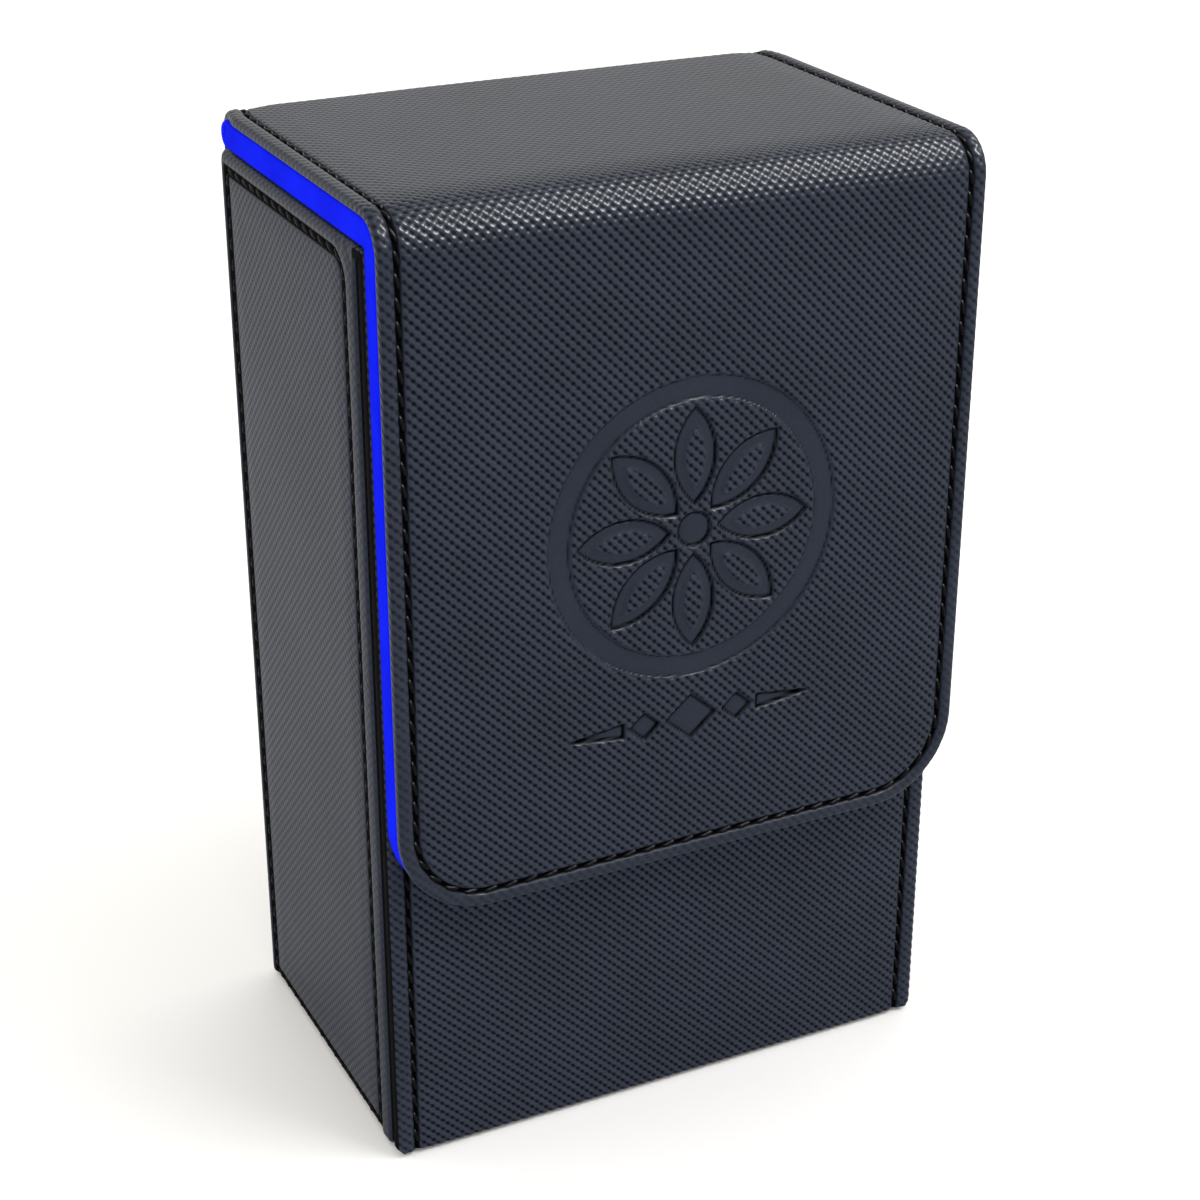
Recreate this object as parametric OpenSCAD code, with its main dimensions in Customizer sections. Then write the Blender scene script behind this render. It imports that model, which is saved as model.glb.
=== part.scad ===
// Card deck box: a stiff upright box wrapped in embossed leather cloth, with a one-piece
// flap that runs from the back over the top and down the front, held shut by magnets.
// Origin at the middle of the base, +Z up, front face towards -Y, millimetres.

/* [Box body] */
// Width of the box body across the front
body_w = 80; // [70:0.5:100]
// Depth of the box body from the front face to the back edge of its sides
body_d = 50; // [40:0.5:80]
// Height of the box body up to its rim
body_h = 124.7; // [110:0.5:160]
// Thickness of the greyboard walls and floor
board_t = 2.0; // [1.5:0.1:3]
// Thickness of the leather cloth
skin_t = 0.9; // [0.7:0.05:1.2]
// Thickness of the microfibre lining
lining_t = 0.7; // [0.5:0.05:1]
// Thickness of the flap leather glued down the back
back_panel_t = 0.9; // [0.8:0.1:2]

/* [Flap] */
// Gap between the closed flap and the box body
flap_gap = 0.2; // [0.15:0.05:0.6]
// Thickness of the lined inner panel of the flap
inner_t = 3.6; // [2.6:0.1:4]
// Thickness of the padded outer layer of the flap
outer_t = 1.4; // [1.2:0.1:3]
// How far the outer layer stands out past each side of the body
flap_over = 0; // [0:0.1:1.5]
// How far the inner panel stands in from the outer layer's edge
inner_step = 0.1; // [0.1:0.1:1]
// Thickness of the lining where it wraps the inner panel
flap_lining_t = 0.6; // [0.4:0.05:0.8]
// Height of the flap's bottom edge above the base
flap_z = 39; // [20:0.5:60]
// Radius of the flap's two bottom corners
flap_corner_r = 12; // [6:0.5:16]
// Outside radius of the fold between the top and the front of the flap
crease_r = 5.2; // [5.2:0.1:9]
// Outside radius of the leather where it turns from the top down the back
hinge_r = 4.0; // [3.8:0.1:5]

/* [Ornament] */
// Height of the ornament's centre above the base
ring_z = 85.3; // [70:0.1:100]
// Outside radius of the pressed ring
ring_r = 19.8; // [12:0.1:26]
// Width of the pressed ring
ring_w = 2.7; // [1.5:0.1:4]
// Depth of the pressed ornament
press_t = 0.35; // [0.2:0.05:0.5]
// Number of petals inside the ring
petals = 8; // [6:2:12]
// Height of the row of lozenges above the base
row_z = 59.4; // [52:0.1:64]
// Half length of the row of lozenges
row_half = 16.9; // [12:0.1:24]

/* [Stitching] */
// Distance from one stitch to the next
pitch = 2.8; // [2.2:0.1:4]
// Length of one stitch
stitch_l = 2.1; // [1.6:0.1:3]
// Diameter of the thread
thread_d = 0.7; // [0.5:0.05:1]
// Width of the groove that the stitches lie in
groove_w = 0.9; // [0.8:0.05:1.2]
// Depth of that groove
groove_t = 0.5; // [0.3:0.05:0.6]
// Distance of the flap's stitch line from the flap's edge
flap_inset = 2.1; // [1.8:0.1:5]
// Distance of the front panel's stitch lines from the body's corners
front_inset = 2.7; // [2.2:0.1:5]

/* [Magnets] */
// Diameter of the closing magnets
magnet_d = 10; // [6:0.5:12]
// Thickness of the closing magnets
magnet_t = 1.5; // [1:0.1:1.8]
// Distance of each magnet from the middle of the front
magnet_x = 20; // [12:0.5:28]
// Height of the magnets above the base
magnet_z = 49.5; // [46:0.5:60]

/* [Hidden] */
$fn = 64;

hw = body_w / 2;
hd = body_d / 2;
wall_t = skin_t + board_t + lining_t;
// Inside faces of the skins, and of the boards
bx = hw - skin_t;
by = hd - skin_t;
ix = bx - board_t;
iy = by - board_t;
floor_z = skin_t + board_t;
board_top = body_h - skin_t;
seam_r = 0.35;

// Levels of the flap's layers over the top, and planes of its layers down the front
lid_z0 = body_h + flap_gap;
lid_z1 = lid_z0 + inner_t;
lid_z2 = lid_z1 + outer_t;
flap_y0 = -hd - flap_gap;
flap_y1 = flap_y0 - inner_t;
flap_y2 = flap_y1 - outer_t;
// Centre of the fold at the front of the top
cy = flap_y2 + crease_r;
cz = lid_z2 - crease_r;
r_mid = crease_r - outer_t;
r_in = r_mid - inner_t;
// Half widths of the flap's two layers, and the outer layer's foam pocket
fw = hw + flap_over;
nw = fw - inner_step;
foam_t = outer_t - skin_t;
// Back plane of the box, and centre of the turn from the top to the back
back_y = hd + back_panel_t;
hy = back_y - hinge_r;
hz = lid_z2 - hinge_r;
hinge_hw = hw - 0.8;
// Rounded back end of the inner panel
end_r = inner_t / 2;
end_y = back_y - 1.3 - end_r;
end_z = lid_z0 + end_r;
end_gap = 0.2;

// Stitch lines
flap_sx = fw - flap_inset;
front_sx = hw - front_inset;
side_front = -hd + 6.6;
side_back = hd - 1.6;
side_top = body_h - 2.6;
side_bottom = 1.5;
side_r = 3.2;
thread_in = groove_t - thread_d / 2;

black = [0.16, 0.16, 0.17];
thread = [0.07, 0.07, 0.08];
blue = [0.05, 0.1, 0.95];
grey = [0.62, 0.58, 0.5];
pale = [0.3, 0.3, 0.32];
steel = [0.75, 0.75, 0.78];

// A block between two corners
module block(a, b) {
  translate(a) cube([b[0] - a[0], b[1] - a[1], b[2] - a[2]]);
}

// A (y, z) outline extruded across the width, w to each side of the middle
module across(w) {
  rotate([90, 0, 90]) linear_extrude(2 * w, center = true) children();
}

// An (x, z) outline extruded from y0 back to y1
module facing(y0, y1) {
  translate([0, y1, 0]) rotate([90, 0, 0]) linear_extrude(y1 - y0) children();
}

// A (y, z) outline extruded from x0 to x1
module sideways(x0, x1) {
  translate([x0, 0, 0]) rotate([90, 0, 90]) linear_extrude(x1 - x0) children();
}

// A rectangle in the plane between two corners
module rect(a, b) {
  translate(a) square([b[0] - a[0], b[1] - a[1]]);
}

// The flap front's outline, drawn in by a distance
module tab(half, inset) {
  r = flap_corner_r - inset;
  difference() {
    rect([-half, flap_z + inset], [half, cz]);
    for (s = [-1, 1])
      rect(
        s < 0 ? [-half - 1, flap_z + inset - 1] : [half - r, flap_z + inset - 1],
        s < 0 ? [-half + r, flap_z + inset + r] : [half + 1, flap_z + inset + r]
      );
  }
  for (s = [-1, 1])
    intersection() {
      translate([s * (half - r), flap_z + inset + r]) circle(r);
      rect([-half, flap_z + inset], [half, flap_z + inset + r]);
    }
}

// One stitch along X, centred on the origin
module stitch() {
  rotate([0, 90, 0]) cylinder(d = thread_d, h = stitch_l, center = true, $fn = 16);
}

// Stitches from point a to point b
module stitch_run(a, b) {
  v = b - a;
  len = norm(v);
  n = floor(len / pitch);
  yaw = atan2(v[1], v[0]);
  rise = atan2(v[2], norm([v[0], v[1]]));
  for (i = [0 : n - 1])
    translate(a + v * ((i + 0.5) / n)) rotate([0, -rise, yaw]) stitch();
}

// ---------------------------------------------------------------- box body

module bottom_board() {
  color(grey) block([-bx, -by, skin_t], [bx, by, floor_z]);
}

module magnet_places(y0, y1) {
  for (s = [-1, 1])
    translate([s * magnet_x, y1, magnet_z]) rotate([90, 0, 0])
      cylinder(d = magnet_d, h = y1 - y0);
}

module front_board() {
  color(grey) difference() {
    block([-bx, -by, floor_z], [bx, -iy, board_top]);
    magnet_places(-by - 1, -by + magnet_t);
  }
}

module back_board() {
  color(grey) block([-bx, iy, floor_z], [bx, by, board_top]);
}

module side_board() {
  color(grey) block([-bx, -iy, floor_z], [-ix, iy, board_top]);
}

module left_board() {
  side_board();
}

module right_board() {
  mirror([1, 0, 0]) side_board();
}

// The front wall's leather: face, turned over the rim down to the lining
module front_cover() {
  color(black) difference() {
    intersection() {
      union() {
        block([-hw, -hd, 0], [hw, -by, board_top]);
        block([-hw, -hd, board_top], [hw, -iy + lining_t, body_h]);
      }
      // rounded rim and corners
      across(hw + 1) {
        rect([-hd, -1], [0, body_h - 1.5]);
        rect([-hd + 1.5, -1], [0, body_h + 1]);
        translate([-hd + 1.5, body_h - 1.5]) circle(1.5);
      }
      linear_extrude(body_h + 1) {
        rect([-bx, -hd], [bx, 0]);
        rect([-hw, -by], [hw, 0]);
        for (s = [-1, 1]) translate([s * bx, -by]) circle(skin_t);
      }
    }
    // the side covers' rims run through to the front board
    for (s = [-1, 1])
      block(
        [s < 0 ? -hw - 1 : ix - lining_t, -by, board_top - 1],
        [s < 0 ? -ix + lining_t : hw + 1, 0, body_h + 1]
      );
    for (s = [-1, 1]) {
      translate([s * hw, -by, -1]) cylinder(r = seam_r, h = body_h + 2);
      facing(-hd - 1, -hd + groove_t)
        rect([s * front_sx - groove_w / 2, 1.5], [s * front_sx + groove_w / 2, body_h - 4]);
    }
  }
}

module back_cover() {
  color(black) {
    block([-hw, by, 0], [hw, hd, board_top]);
    block([-ix + lining_t, iy - lining_t, board_top], [ix - lining_t, hd, body_h]);
  }
}

// The stitched rectangle on a side, with its two top corners rounded
module side_line(inset) {
  r = side_r - inset;
  difference() {
    rect([side_front + inset, side_bottom + inset], [side_back - inset, side_top - inset]);
    rect([side_front - 1, side_top - side_r], [side_front + side_r, side_top + 1]);
  }
  intersection() {
    translate([side_front + side_r, side_top - side_r]) circle(r);
    rect([side_front, side_top - side_r], [side_front + side_r, side_top]);
  }
}

// The left wall's leather
module side_cover() {
  color(black) difference() {
    union() {
      block([-hw, -by, 0], [-bx, by, board_top]);
      block([-hw, -by, board_top], [-ix + lining_t, by, body_h]);
      block([-hw, by, board_top], [-ix + lining_t, hd, body_h]);
    }
    translate([-hw, -by, -1]) cylinder(r = seam_r, h = body_h + 2);
    sideways(-hw - 1, -hw + groove_t) difference() {
      side_line(-groove_w / 2);
      side_line(groove_w / 2);
    }
  }
}

module left_cover() {
  side_cover();
}

module right_cover() {
  mirror([1, 0, 0]) side_cover();
}

module bottom_cover() {
  color(black) block([-bx, -by, 0], [bx, by, skin_t]);
}

// The flap's leather where it is glued down the back
module back_panel() {
  color(black) difference() {
    linear_extrude(body_h) {
      rect([-hw + 0.5, hd], [hw - 0.5, back_y]);
      rect([-hw + 0.1, hd], [hw - 0.1, back_y - 0.4]);
      for (s = [-1, 1]) translate([s * (hw - 0.5), back_y - 0.4]) circle(0.4);
    }
    for (s = [-1, 1])
      facing(back_y - groove_t, back_y + 1)
        rect([s * flap_sx - groove_w / 2, 2.5], [s * flap_sx + groove_w / 2, body_h + 1]);
    facing(back_y - groove_t, back_y + 1)
      rect([-flap_sx - groove_w / 2, 2.5], [flap_sx + groove_w / 2, 2.5 + groove_w]);
  }
}

module floor_lining() {
  color(blue) block([-ix, -iy, floor_z], [ix, iy, floor_z + lining_t]);
}

module front_lining() {
  color(blue)
    block([-ix, -iy, floor_z + lining_t], [ix, -iy + lining_t, board_top]);
}

module back_lining() {
  color(blue)
    block([-ix, iy - lining_t, floor_z + lining_t], [ix, iy, board_top]);
}

module side_lining() {
  color(blue) block(
    [-ix, -iy + lining_t, floor_z + lining_t],
    [-ix + lining_t, iy - lining_t, board_top]
  );
}

module left_lining() {
  side_lining();
}

module right_lining() {
  mirror([1, 0, 0]) side_lining();
}

module body_magnets() {
  color(steel) magnet_places(-by, -by + magnet_t);
}

module front_stitching() {
  color(thread) for (s = [-1, 1])
    stitch_run(
      [s * front_sx, -hd + thread_in, 1.8],
      [s * front_sx, -hd + thread_in, body_h - 4.3]
    );
}

// The left side's stitching: four runs and the rounded top front corner
module side_stitching() {
  x = -hw + thread_in;
  color(thread) {
    stitch_run([x, side_front, side_bottom + 0.4], [x, side_front, side_top - side_r]);
    stitch_run([x, side_front + side_r, side_top], [x, side_back - 0.4, side_top]);
    stitch_run([x, side_back, side_top - 0.4], [x, side_back, side_bottom + 0.4]);
    stitch_run([x, side_front + 0.4, side_bottom], [x, side_back - 0.4, side_bottom]);
    translate([x, side_front + side_r, side_top - side_r]) rotate([-45, 0, 0])
      translate([0, -side_r + 0.1, 0]) rotate([0, 90, 0]) stitch();
  }
}

module left_stitching() {
  side_stitching();
}

module right_stitching() {
  mirror([1, 0, 0]) side_stitching();
}

module back_stitching() {
  y = back_y - thread_in;
  color(thread) {
    for (s = [-1, 1])
      stitch_run([s * flap_sx, y, 3.8], [s * flap_sx, y, body_h - 0.2]);
    stitch_run([-flap_sx + 0.4, y, 2.95], [flap_sx - 0.4, y, 2.95]);
  }
}

// ---------------------------------------------------------------- lid

// The leather that bends where the lid turns on the back of the box
module hinge_strip() {
  color(black) across(hinge_hw) difference() {
    union() {
      intersection() {
        translate([hy, hz]) circle(hinge_r);
        rect([hy, hz], [back_y, lid_z2]);
      }
      rect([hy, body_h], [back_y, hz]);
    }
    translate([end_y, end_z]) circle(end_r + end_gap);
    rect([hy - 1, body_h - 1], [end_y, lid_z1]);
    rect([hy - 1, body_h - 1], [end_y + end_r + end_gap, end_z]);
  }
}

module lid_cover() {
  color(black) difference() {
    block([-fw, cy, lid_z1], [fw, hy, lid_z2]);
    block([-fw + skin_t, cy - 1, lid_z1 - 1], [fw - skin_t, hy + 1, lid_z1 + foam_t]);
    for (s = [-1, 1])
      block(
        [s * flap_sx - groove_w / 2, cy - 1, lid_z2 - groove_t],
        [s * flap_sx + groove_w / 2, hy + 1, lid_z2 + 1]
      );
  }
}

module lid_foam() {
  color(pale) block([-fw + skin_t, cy, lid_z1], [fw - skin_t, hy, lid_z1 + foam_t]);
}

module lid_board() {
  color(grey) block(
    [-nw + flap_lining_t, cy, lid_z0 + flap_lining_t],
    [nw - flap_lining_t, end_y, lid_z1]
  );
}

// The lining that wraps the inner panel, with its rounded back end
module lid_lining() {
  color(blue) difference() {
    across(nw) {
      rect([cy, lid_z0], [end_y, lid_z1]);
      translate([end_y, end_z]) circle(end_r);
    }
    block(
      [-nw + flap_lining_t, cy - 1, lid_z0 + flap_lining_t],
      [nw - flap_lining_t, end_y, lid_z1 + 1]
    );
  }
}

module lid_stitching() {
  z = lid_z2 - thread_in;
  color(thread) for (s = [-1, 1])
    stitch_run([s * flap_sx, cy, z], [s * flap_sx, hy, z]);
}

// ---------------------------------------------------------------- crease

// A quarter ring around the fold's centre, from radius a out to b
module fold(a, b) {
  translate([cy, cz]) intersection() {
    difference() {
      circle(b);
      circle(a);
    }
    rect([-b, 0], [0, b]);
  }
}

module crease_cover() {
  color(black) difference() {
    across(fw) fold(r_mid, crease_r);
    for (s = [-1, 1])
      translate([s * flap_sx, 0, 0])
        across(groove_w / 2) fold(crease_r - groove_t, crease_r + 1);
  }
}

module crease_lining() {
  color(blue) across(nw) fold(r_in, r_mid);
}

module crease_stitching() {
  n = floor((crease_r - thread_in) * PI / 2 / pitch);
  color(thread) for (s = [-1, 1], i = [0 : n - 1])
    translate([s * flap_sx, cy, cz]) rotate([-(i + 0.5) * 90 / n, 0, 0])
      translate([0, -crease_r + thread_in - 0.05, 0]) rotate([0, 90, 0]) stitch();
}

// ---------------------------------------------------------------- flap

// One petal pointing up from the ornament's centre
module petal(r0, r1, w) {
  h = (r1 - r0) / 2;
  big = (h * h + w * w / 4) / w;
  translate([0, r0 + h]) intersection_for(s = [-1, 1])
    translate([s * (big - w / 2), 0]) circle(big);
}

// A lozenge, a across and b high
module lozenge(a, b) {
  polygon([[-a / 2, 0], [0, -b / 2], [a / 2, 0], [0, b / 2]]);
}

module ornament() {
  translate([0, ring_z]) {
    difference() {
      circle(ring_r);
      circle(ring_r - ring_w);
    }
    for (i = [0 : petals - 1])
      rotate(i * 360 / petals) difference() {
        petal(3.4, ring_r - ring_w - 1.2, 5.6);
        petal(5.2, ring_r - ring_w - 3.2, 3.2);
      }
    circle(2.2);
  }
  translate([0, row_z]) {
    lozenge(7, 6);
    for (s = [-1, 1]) {
      translate([s * 6.6, 0]) lozenge(4, 3.6);
      polygon([[s * 9.6, -0.9], [s * row_half, 0], [s * 9.6, 0.9]]);
    }
  }
}

module flap_cover() {
  color(black) difference() {
    facing(flap_y2, flap_y1) tab(fw, 0);
    facing(flap_y1 - foam_t, flap_y1 + 1) tab(fw - skin_t, skin_t);
    facing(flap_y2 - 1, flap_y2 + groove_t) difference() {
      tab(fw - flap_inset + groove_w / 2, flap_inset - groove_w / 2);
      tab(fw - flap_inset - groove_w / 2, flap_inset + groove_w / 2);
    }
    facing(flap_y2 - 1, flap_y2 + press_t) ornament();
  }
}

module flap_foam() {
  color(pale) facing(flap_y1 - foam_t, flap_y1) tab(fw - skin_t, skin_t);
}

module flap_board() {
  s = inner_step + flap_lining_t;
  color(grey) difference() {
    facing(flap_y1, flap_y0 - flap_lining_t) tab(fw - s, s);
    magnet_places(flap_y0 - flap_lining_t - magnet_t, flap_y0);
  }
}

module flap_lining() {
  s = inner_step + flap_lining_t;
  color(blue) difference() {
    facing(flap_y1, flap_y0) tab(nw, inner_step);
    facing(flap_y1 - 1, flap_y0 - flap_lining_t) tab(fw - s, s);
  }
}

module flap_magnets() {
  color(steel)
    magnet_places(flap_y0 - flap_lining_t - magnet_t, flap_y0 - flap_lining_t);
}

module flap_stitching() {
  y = flap_y2 + thread_in;
  r = flap_corner_r - flap_inset;
  ax = fw - flap_corner_r;
  az = flap_z + flap_corner_r;
  n = round(r * PI / 2 / pitch);
  color(thread) {
    for (s = [-1, 1]) {
      stitch_run([s * flap_sx, y, cz], [s * flap_sx, y, az]);
      for (i = [0 : n - 1])
        translate([s * ax, y, az]) rotate([0, s * (i + 0.5) * 90 / n, 0])
          translate([s * (r - 0.08), 0, 0]) rotate([0, 90, 0]) stitch();
    }
    stitch_run([-ax, y, az - r], [ax, y, az - r]);
  }
}

bottom_board();
front_board();
back_board();
left_board();
right_board();
bottom_cover();
front_cover();
back_cover();
left_cover();
right_cover();
back_panel();
floor_lining();
front_lining();
back_lining();
left_lining();
right_lining();
body_magnets();
front_stitching();
left_stitching();
right_stitching();
back_stitching();
hinge_strip();
lid_cover();
lid_foam();
lid_board();
lid_lining();
lid_stitching();
crease_cover();
crease_lining();
crease_stitching();
flap_cover();
flap_foam();
flap_board();
flap_lining();
flap_magnets();
flap_stitching();
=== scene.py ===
import math

import bpy
import numpy as np
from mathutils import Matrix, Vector


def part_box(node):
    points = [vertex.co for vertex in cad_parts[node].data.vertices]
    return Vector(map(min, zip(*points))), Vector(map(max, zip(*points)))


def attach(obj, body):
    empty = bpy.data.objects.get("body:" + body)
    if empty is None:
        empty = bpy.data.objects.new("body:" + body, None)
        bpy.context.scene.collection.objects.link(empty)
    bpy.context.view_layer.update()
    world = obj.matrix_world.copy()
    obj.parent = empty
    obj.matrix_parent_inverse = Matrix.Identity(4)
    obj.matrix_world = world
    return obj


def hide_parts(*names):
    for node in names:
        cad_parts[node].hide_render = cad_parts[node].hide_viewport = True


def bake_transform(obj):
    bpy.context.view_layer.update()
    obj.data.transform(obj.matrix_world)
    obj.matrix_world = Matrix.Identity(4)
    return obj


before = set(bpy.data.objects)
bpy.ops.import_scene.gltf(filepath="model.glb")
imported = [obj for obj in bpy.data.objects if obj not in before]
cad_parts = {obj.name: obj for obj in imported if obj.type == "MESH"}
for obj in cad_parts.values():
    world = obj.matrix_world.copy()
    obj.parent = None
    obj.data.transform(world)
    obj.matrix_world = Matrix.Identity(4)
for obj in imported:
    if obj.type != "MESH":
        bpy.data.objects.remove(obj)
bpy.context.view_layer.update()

# ---------------------------------------------------------------- sizes from the CAD part
# Everything below is in millimetres until a mesh is made.
MM = 0.001


def box_mm(node):
    low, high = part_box(node)
    return np.array(low) / MM, np.array(high) / MM


flap_lo, flap_hi = box_mm("flap_cover")
lid_lo, lid_hi = box_mm("lid_cover")
hinge_lo, hinge_hi = box_mm("hinge_strip")
liner_lo, liner_hi = box_mm("flap_lining")
under_lo, under_hi = box_mm("lid_lining")
side_lo, side_hi = box_mm("left_cover")
front_low = box_mm("front_cover")[0]
floor_high = box_mm("floor_lining")[1]
side_lining_high = box_mm("left_lining")[1]
front_lining_high = box_mm("front_lining")[1]
base_lo, base_hi = box_mm("bottom_cover")

HALF = flap_hi[0]  # half width of the flap's outer leather
FLAP_Z = flap_lo[2]  # the flap's bottom edge
FRONT_Y = flap_lo[1]  # the flap's outer face
TOP_Z = lid_hi[2]  # the lid's outer face
CREASE_R = TOP_Z - flap_hi[2]
CREASE_Y, CREASE_Z = lid_lo[1], flap_hi[2]  # centre of the fold at the top front
BACK_Y = hinge_hi[1]
HINGE_R = BACK_Y - hinge_lo[1]
HINGE_Y, HINGE_Z = hinge_lo[1], TOP_Z - HINGE_R  # centre of the turn at the top back
OUTER_T = flap_hi[1] - flap_lo[1]  # the outer layer, leather and foam
INNER_T = liner_hi[1] - liner_lo[1]  # the lined inner panel
UNDER_Z = under_lo[2]  # the lid's lined underside
SIDE_X = -side_lo[0]  # half width of the box body
BODY_Y = -front_low[1]  # half depth of the box body
RIM_Z = side_hi[2]
INSIDE_X = -side_lining_high[0]
INSIDE_Y = -front_lining_high[1]

# Lengths along the flap leather, from the flap's bottom edge up, over and down the back
S_CREASE = CREASE_Z - FLAP_Z
S_TOP = S_CREASE + CREASE_R * math.pi / 2
S_HINGE = S_TOP + HINGE_Y - CREASE_Y
S_BACK = S_HINGE + HINGE_R * math.pi / 2
S_END = S_BACK + HINGE_Z

# The embossed lattice: its repeat across and up, and the mesh cell that samples it
REPEAT = 1.372
CELL = REPEAT / 4
WAVE = 2 * math.pi / REPEAT

# Stitching
PITCH = 2.8
STITCH = 2.15  # length of one stitch
STITCH_SLANT = 0.3  # radians off the seam's line
STITCH_DIP = 0.42  # how far its ends go down into the leather
THREAD_R = 0.27
INSET = 2.2  # from the flap's edge to its stitch line
FRONT_INSET = 2.7  # from the body's corner to the front's stitch line

CORNER_R = 12.0  # the flap's two bottom corners
FAR = 9.0  # a distance that no finish reaches


# ---------------------------------------------------------------- small helpers
def ramp(x, a, b):
    """0 before a, 1 after b, smooth between them."""
    t = np.clip((x - a) / (b - a), 0, 1)
    return t * t * (3 - 2 * t)


def hump(x, width):
    """1 at x = 0, falling off to both sides."""
    return np.exp(-((x / width) ** 2))


def same(u, value):
    """The one value everywhere on the pattern."""
    return np.full(np.shape(u), value)


def swell(x, width):
    """0 at x = 0 and at x = width and beyond them, 1 midway."""
    return np.sin(np.clip(x / width, 0, 1) * math.pi)


def lattice(u, v):
    """The embossed lattice of slanting cells, whose rising ribs are the stronger ones."""
    return 0.56 * np.cos(WAVE * (u + v)) + 0.44 * np.cos(WAVE * (u - v))


def drift(u, v, seed):
    """A slow unevenness between about -1 and 1."""
    return (
        np.sin(0.071 * u + 0.043 * v + seed)
        + np.sin(-0.037 * u + 0.113 * v + 2.1 * seed)
        + 0.6 * np.sin(0.19 * u - 0.16 * v + 0.7 * seed)
    ) / 2.6


def rounded(u, v, low, high, r_low, r_high):
    """Signed distance to a rectangle whose corners are round, negative inside."""
    mid_u, half_u = (low[0] + high[0]) / 2, (high[0] - low[0]) / 2
    r = np.where(v < (low[1] + high[1]) / 2, r_low, r_high)
    qu = np.abs(u - mid_u) - half_u + r
    qv = np.maximum(low[1] + r - v, v - high[1] + r)
    outside = np.hypot(np.maximum(qu, 0), np.maximum(qv, 0))
    return outside + np.minimum(np.maximum(qu, qv), 0) - r


def make_mesh(name, points, quads, cloth, material, form=None, edge=None):
    """A smooth mesh of quads. cloth and form are kept on its points for the finishes, and edge
    marks the quads that get the near-black painted shade material."""
    mesh = bpy.data.meshes.new(name)
    mesh.vertices.add(len(points))
    mesh.vertices.foreach_set("co", (points * MM).astype(np.float32).ravel())
    mesh.loops.add(quads.size)
    mesh.loops.foreach_set("vertex_index", quads.astype(np.int32).ravel())
    mesh.polygons.add(len(quads))
    mesh.polygons.foreach_set("loop_start", np.arange(0, quads.size, 4, dtype=np.int32))
    mesh.update(calc_edges=True)
    mesh.validate()
    mesh.polygons.foreach_set("use_smooth", np.ones(len(mesh.polygons), bool))
    place = mesh.attributes.new("cloth", "FLOAT_VECTOR", "POINT")
    place.data.foreach_set("vector", cloth.astype(np.float32).ravel())
    if form is not None:
        marks = mesh.attributes.new("form", "FLOAT_VECTOR", "POINT")
        marks.data.foreach_set("vector", form.astype(np.float32).ravel())
    mesh.materials.append(material)
    if edge is not None:
        mesh.materials.append(PAINTED_SHADE_EDGE)
        mesh.polygons.foreach_set("material_index", edge.astype(np.int32))
    piece = bpy.data.objects.new(name, mesh)
    bpy.context.scene.collection.objects.link(piece)
    return piece


def outline_path(cells, on_cut):
    """The ordered grid corners round the kept cells, and whether the path is closed.
    Edges that lie on a cut are left out, which opens the path there."""
    pad = np.pad(cells, 1)
    here = pad[1:-1, 1:-1]
    following = {}
    sides = (
        (pad[1:-1, :-2], (0, 0), (1, 0)),
        (pad[2:, 1:-1], (1, 0), (1, 1)),
        (pad[1:-1, 2:], (1, 1), (0, 1)),
        (pad[:-2, 1:-1], (0, 1), (0, 0)),
    )
    for other, a, b in sides:
        for i, j in np.argwhere(here & ~other):
            start, stop = (i + a[0], j + a[1]), (i + b[0], j + b[1])
            if not (on_cut(*start) and on_cut(*stop)):
                following[start] = stop
    loose = set(following) - set(following.values())
    closed = not loose
    first = next(iter(following)) if closed else loose.pop()
    path = [first]
    while path[-1] in following and following[path[-1]] != first:
        path.append(following[path[-1]])
    return np.array(path), closed


def slope(field, u, v):
    """How fast field changes along u and along v."""
    step = 0.01
    gu = (field(u + step, v) - field(u - step, v)) / (2 * step)
    gv = (field(u, v + step) - field(u, v - step)) / (2 * step)
    return gu, gv


def pull_onto(u, v, off, reach, fixed):
    """Moves the grid points near the line off = 0 onto it, all but the fixed ones."""
    gu, gv = slope(off, u, v)
    size = gu * gu + gv * gv
    away = off(u, v)
    near = (np.abs(away) < reach * np.sqrt(size)) & (size < 2)
    near[fixed] = False
    away = np.where(near, away / np.maximum(size, 1e-6), 0)
    return u - away * gu, v - away * gv


def plain(u, v):
    """The marks of a panel with no ornament and no seam."""
    return same(u, FAR), same(v, FAR), same(u, 1.0)


def edge_rings(thick, r, under, flange):
    """The turned edge's rings, from the face down: each one's reach outward, its height and
    its distance along the leather."""
    quarter = math.pi / 2
    bend = np.minimum(r, thick / 2)
    low_r = np.minimum(under, thick / 2) + 1e-4
    rings = [(bend * math.sin(a), -bend * (1 - math.cos(a)), bend * a)
             for a in np.linspace(0, quarter, 6)[1:]]
    for t in (0.33, 0.67, 1.0):
        fall = bend + (thick - bend - low_r) * t
        rings.append((bend, -fall, fall + (quarter - 1) * bend))
    for a in np.linspace(0, quarter, 4)[1:] if under else ():
        rings.append((bend - low_r * (1 - math.cos(a)), -thick + low_r * (1 - math.sin(a)),
                      thick + 0.5 * low_r * a))
    rings.append((bend - flange, -thick, thick + flange))
    return rings


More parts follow.
